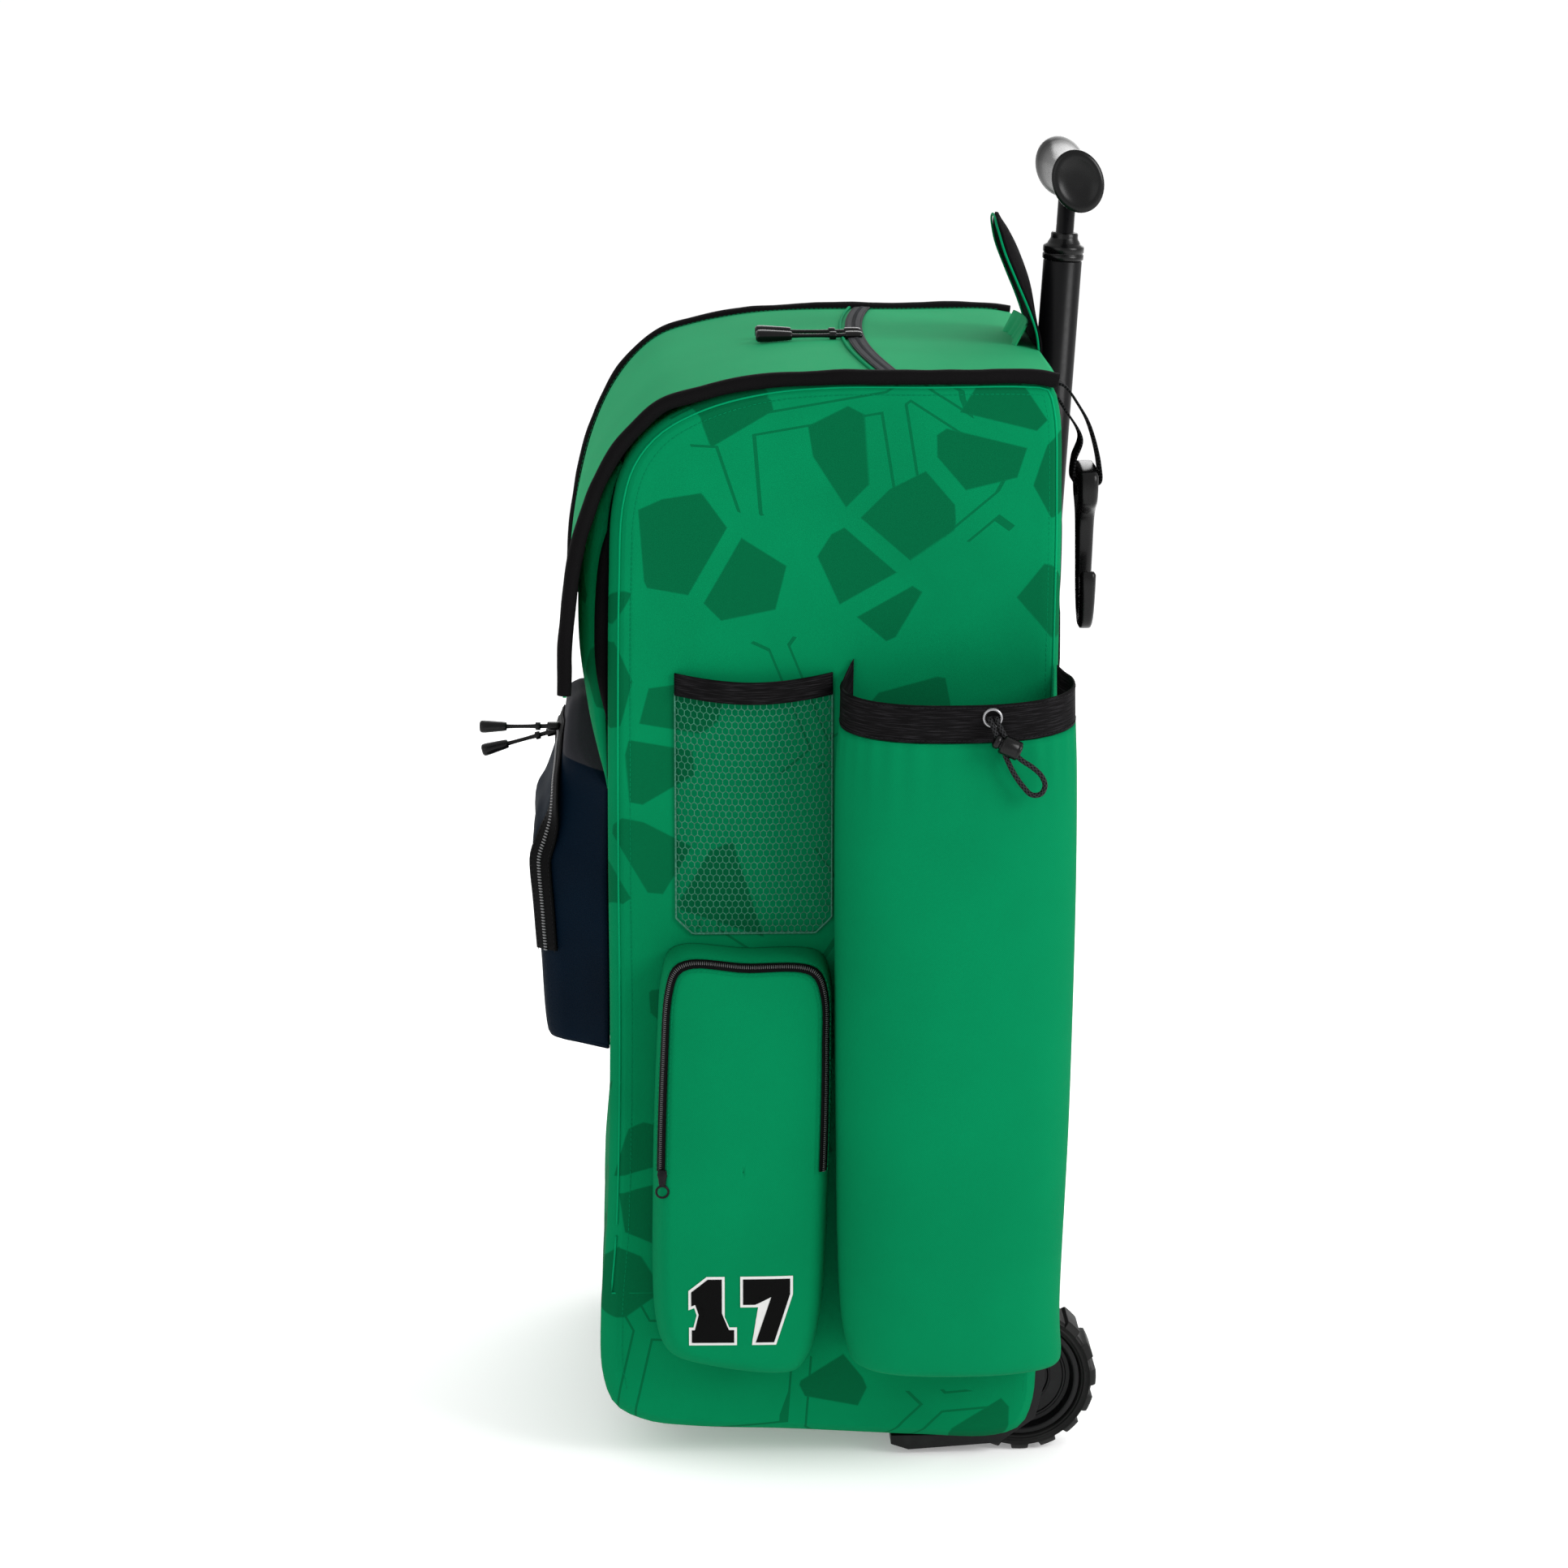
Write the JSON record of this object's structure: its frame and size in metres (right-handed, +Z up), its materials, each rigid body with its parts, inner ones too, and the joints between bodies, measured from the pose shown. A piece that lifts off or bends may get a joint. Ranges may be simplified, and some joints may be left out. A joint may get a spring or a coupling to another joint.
{
  "type": "wheeled baseball bag",
  "caption": "Upright wheeled cloth bag for baseball gear, with bat sleeves, net and zip pockets, a helmet flap and a pull-out T handle.",
  "frame": {"origin": "on the floor, under the middle of the bag's skid, on the flat underside it rests on", "axes": "+Z up; front of the bag -Y; wheels and handle at +Y; bag's right side, with one of its two bat sleeves, +X"},
  "size_m": [0.533, 0.4328, 0.8967],
  "materials": {
    "print_cloth": "matte printed polyester",
    "green_cloth": "matte polyester",
    "top_cloth": "matte polyester",
    "black_cloth": "matte polyester",
    "navy_cloth": "matte polyester",
    "black_tape": "matte woven elastic and binding",
    "zip_tape": "coated zip tape",
    "grey_tape": "woven zip tape",
    "green_net": "knitted net",
    "cord": "braided cord",
    "webbing": "woven webbing",
    "black_plastic": "moulded, satin",
    "black_rubber": "moulded rubber",
    "black_metal": "black coated, satin",
    "steel": "nickel plated"
  },
  "bodies": {
    "bag": {"bag_shell": "print_cloth", "back_panel": "black_cloth", "helmet_flap": "top_cloth", "flap_piping_right": "black_tape", "flap_piping_left": "black_tape", "upper_pocket": "print_cloth", "upper_gusset_right": "black_cloth", "upper_gusset_left": "black_cloth", "front_pocket": "navy_cloth", "front_zip": "zip_tape", "top_zip": "grey_tape", "top_pull_1": "black_plastic", "top_pull_2": "black_plastic", "front_pull_1": "black_plastic", "front_pull_2": "black_plastic", "bat_sleeve_right": "green_cloth", "bat_sleeve_left": "green_cloth", "sleeve_band_right": "black_tape", "sleeve_band_left": "black_tape", "net_pocket_right": "green_net", "net_pocket_left": "green_net", "net_band_right": "black_tape", "net_band_left": "black_tape", "low_pocket_right": "green_cloth", "low_pocket_left": "green_cloth", "low_zip_right": "zip_tape", "low_zip_left": "zip_tape", "low_slider_right": "black_metal", "low_slider_left": "black_metal", "grommet_right": "steel", "grommet_left": "steel", "sleeve_cord_right": "cord", "sleeve_cord_left": "cord", "cord_lock_right": "black_plastic", "cord_lock_left": "black_plastic", "wheel_housing_right": "black_plastic", "wheel_housing_left": "black_plastic", "axle_right": "steel", "axle_left": "steel", "base_skid": "black_plastic", "handle_tube": "black_metal", "handle_collar": "black_plastic", "handle_cover": "black_cloth", "cover_gusset": "top_cloth", "fence_hook": "black_plastic", "hook_webbing": "webbing", "grab_strap": "webbing"},
    "wheel_right": {"wheel_tyre_right": "black_rubber", "wheel_hub_right": "black_plastic"},
    "wheel_left": {"wheel_tyre_left": "black_rubber", "wheel_hub_left": "black_plastic"},
    "handle": {"handle_rod": "black_metal", "handle_grip": "black_plastic"}
  },
  "joints": [
    {"name": "wheel_right_spin", "type": "hinge", "parent": "bag", "child": "wheel_right", "pos_m": [0.153, 0.16, 0.053], "axis": [1, 0, 0], "continuous": true},
    {"name": "wheel_left_spin", "type": "hinge", "parent": "bag", "child": "wheel_left", "pos_m": [-0.153, 0.16, 0.053], "axis": [1, 0, 0], "continuous": true},
    {"name": "handle_slide", "type": "slide", "parent": "bag", "child": "handle", "axis": [0, 0.061, 0.9981], "range_m": [0, 0.32]}
  ]
}
